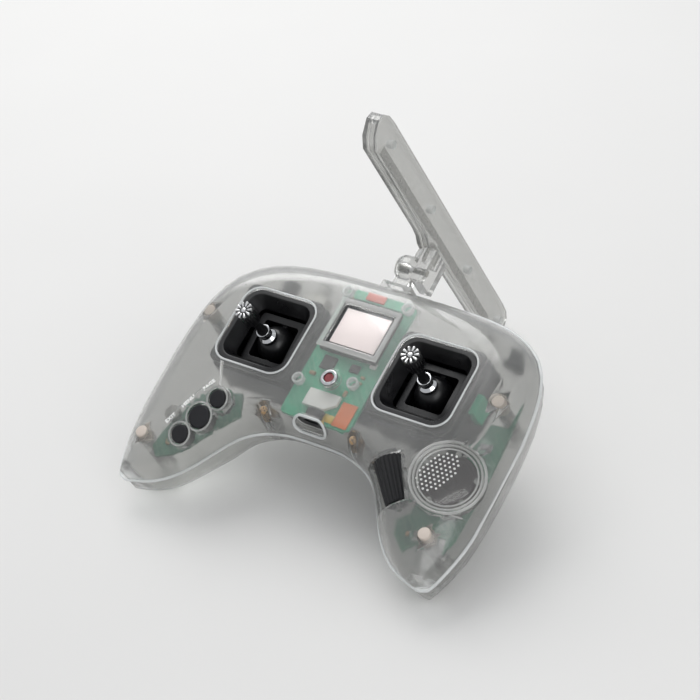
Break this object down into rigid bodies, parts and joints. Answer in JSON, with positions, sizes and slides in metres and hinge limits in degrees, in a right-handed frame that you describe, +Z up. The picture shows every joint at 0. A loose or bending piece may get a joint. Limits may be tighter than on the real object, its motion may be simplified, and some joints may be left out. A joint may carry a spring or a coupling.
{
  "type": "radio transmitter controller",
  "caption": "Handheld radio transmitter in a frosted clear shell with sticks, keys, roller, small display and a folding T antenna; stands on its grips and antenna tip.",
  "frame": {"origin": "on the surface the object stands on, under the middle of its bounding box", "axes": "+Z up, +Y from the user past the display to the antenna, +X to the user's right; the casing leans back as it stands"},
  "size_m": [0.1874, 0.2052, 0.167],
  "materials": {
    "clear_plastic": "frosted clear polycarbonate, injection moulded",
    "black_plastic": "black moulded plastic, satin",
    "black_rubber": "black rubber, matte",
    "chrome_metal": "bright plated metal",
    "steel": "plain steel",
    "circuit_board": "green solder mask over glass-epoxy board",
    "display_glass": "polished",
    "white_plastic": "white, satin",
    "amber_film": "amber polyimide film",
    "red_plastic": "red moulded plastic",
    "battery_wrap": "shrink wrap, satin"
  },
  "bodies": {
    "casing": {"top_shell": "clear_plastic", "bottom_shell": "clear_plastic", "battery_cover": "clear_plastic", "battery_pack": "battery_wrap", "display_window": "display_glass", "display_module": "white_plastic", "main_board": "circuit_board", "keypad": "white_plastic", "flex_cable": "amber_film", "socket_connector": "black_plastic", "radio_module": "amber_film", "left_grip_board": "circuit_board", "right_grip_board": "circuit_board", "haptic_motor": "steel", "power_ring": "chrome_metal", "roller_axle": "steel", "roller_encoder": "black_plastic", "speaker_grille": "clear_plastic", "speaker_driver": "steel", "left_stick_bezel": "black_plastic", "left_gimbal_frame": "black_plastic", "left_hall_sensor": "circuit_board", "left_toggle_base": "chrome_metal", "left_front_screw": "steel", "left_shoulder_screw": "steel", "left_grip_screw": "steel", "right_stick_bezel": "black_plastic", "right_gimbal_frame": "black_plastic", "right_hall_sensor": "circuit_board", "right_toggle_base": "chrome_metal", "right_front_screw": "steel", "right_shoulder_screw": "steel", "right_grip_screw": "steel", "antenna_bracket": "clear_plastic", "antenna_hinge_pin": "steel"},
    "left_yoke": {"left_outer_yoke": "black_plastic"},
    "left_stick": {"left_stick_carrier": "black_plastic", "left_stick_collar": "chrome_metal", "left_stick_shaft": "black_plastic", "left_stick_end": "chrome_metal"},
    "left_toggle": {"left_toggle_lever": "chrome_metal"},
    "left_shoulder": {"left_shoulder_button": "black_rubber"},
    "right_yoke": {"right_outer_yoke": "black_plastic"},
    "right_stick": {"right_stick_carrier": "black_plastic", "right_stick_collar": "chrome_metal", "right_stick_shaft": "black_plastic", "right_stick_end": "chrome_metal"},
    "right_toggle": {"right_toggle_lever": "chrome_metal"},
    "right_shoulder": {"right_shoulder_button": "black_rubber"},
    "exit_key": {"exit_button": "black_rubber"},
    "menu_key": {"menu_button": "black_rubber"},
    "page_key": {"page_button": "black_rubber"},
    "power_key": {"power_button": "red_plastic"},
    "roller": {"roller_wheel": "black_rubber"},
    "antenna_knuckle_body": {"antenna_knuckle": "clear_plastic"},
    "antenna_tee": {"antenna_swivel_pin": "steel", "antenna_left_half": "clear_plastic", "antenna_right_half": "clear_plastic", "antenna_element": "steel"}
  },
  "joints": [
    {"name": "left_stick_fore_aft", "type": "hinge", "parent": "casing", "child": "left_yoke", "pos_m": [-0.044, -0.0243, 0.05324], "axis": [1, 0, 0], "range_deg": [-32.2, 21.8]},
    {"name": "left_stick_side_to_side", "type": "hinge", "parent": "left_yoke", "child": "left_stick", "pos_m": [-0.044, -0.0243, 0.05324], "axis": [0, 0.8677, 0.4972], "range_deg": [-25.1, 28.9], "stiffness_Nm_per_rad": 0.03},
    {"name": "left_toggle_flick", "type": "hinge", "parent": "casing", "child": "left_toggle", "pos_m": [-0.046, 0.02091, 0.05635], "axis": [1, 0, 0], "range_deg": [-14, 14]},
    {"name": "left_shoulder_press", "type": "slide", "parent": "casing", "child": "left_shoulder", "axis": [0, -0.9091, -0.4165], "range_m": [0, 0.0015], "stiffness_N_per_m": 120},
    {"name": "right_stick_fore_aft", "type": "hinge", "parent": "casing", "child": "right_yoke", "pos_m": [0.044, -0.0243, 0.05324], "axis": [1, 0, 0], "range_deg": [-27, 27], "stiffness_Nm_per_rad": 0.03},
    {"name": "right_stick_side_to_side", "type": "hinge", "parent": "right_yoke", "child": "right_stick", "pos_m": [0.044, -0.0243, 0.05324], "axis": [0, 0.9091, 0.4165], "range_deg": [-27, 27], "stiffness_Nm_per_rad": 0.03},
    {"name": "right_toggle_flick", "type": "hinge", "parent": "casing", "child": "right_toggle", "pos_m": [0.046, 0.02091, 0.05635], "axis": [1, 0, 0], "range_deg": [-14, 14]},
    {"name": "right_shoulder_press", "type": "slide", "parent": "casing", "child": "right_shoulder", "axis": [0, -0.9091, -0.4165], "range_m": [0, 0.0015], "stiffness_N_per_m": 120},
    {"name": "exit_press", "type": "slide", "parent": "casing", "child": "exit_key", "axis": [0, 0.7023, -0.7119], "range_m": [0, 0.0008], "stiffness_N_per_m": 100},
    {"name": "menu_press", "type": "slide", "parent": "casing", "child": "menu_key", "axis": [0, 0.7023, -0.7119], "range_m": [0, 0.0008], "stiffness_N_per_m": 100},
    {"name": "page_press", "type": "slide", "parent": "casing", "child": "page_key", "axis": [0, 0.7023, -0.7119], "range_m": [0, 0.0008], "stiffness_N_per_m": 100},
    {"name": "power_press", "type": "slide", "parent": "casing", "child": "power_key", "axis": [0, 0.4165, -0.9091], "range_m": [0, 0.0005], "stiffness_N_per_m": 100},
    {"name": "roller_turn", "type": "hinge", "parent": "casing", "child": "roller", "pos_m": [0.0523, -0.07128, 0.04052], "axis": [0.6133, -0.6758, -0.4088], "continuous": true},
    {"name": "antenna_fold", "type": "hinge", "parent": "casing", "child": "antenna_knuckle_body", "pos_m": [0, 0.02971, 0.07578], "axis": [1, 0, 0], "range_deg": [-20, 60]},
    {"name": "antenna_swivel", "type": "hinge", "parent": "antenna_knuckle_body", "child": "antenna_tee", "pos_m": [0, 0.04289, 0.07656], "axis": [0, 0.8828, 0.4697], "range_deg": [-90, 90]}
  ]
}
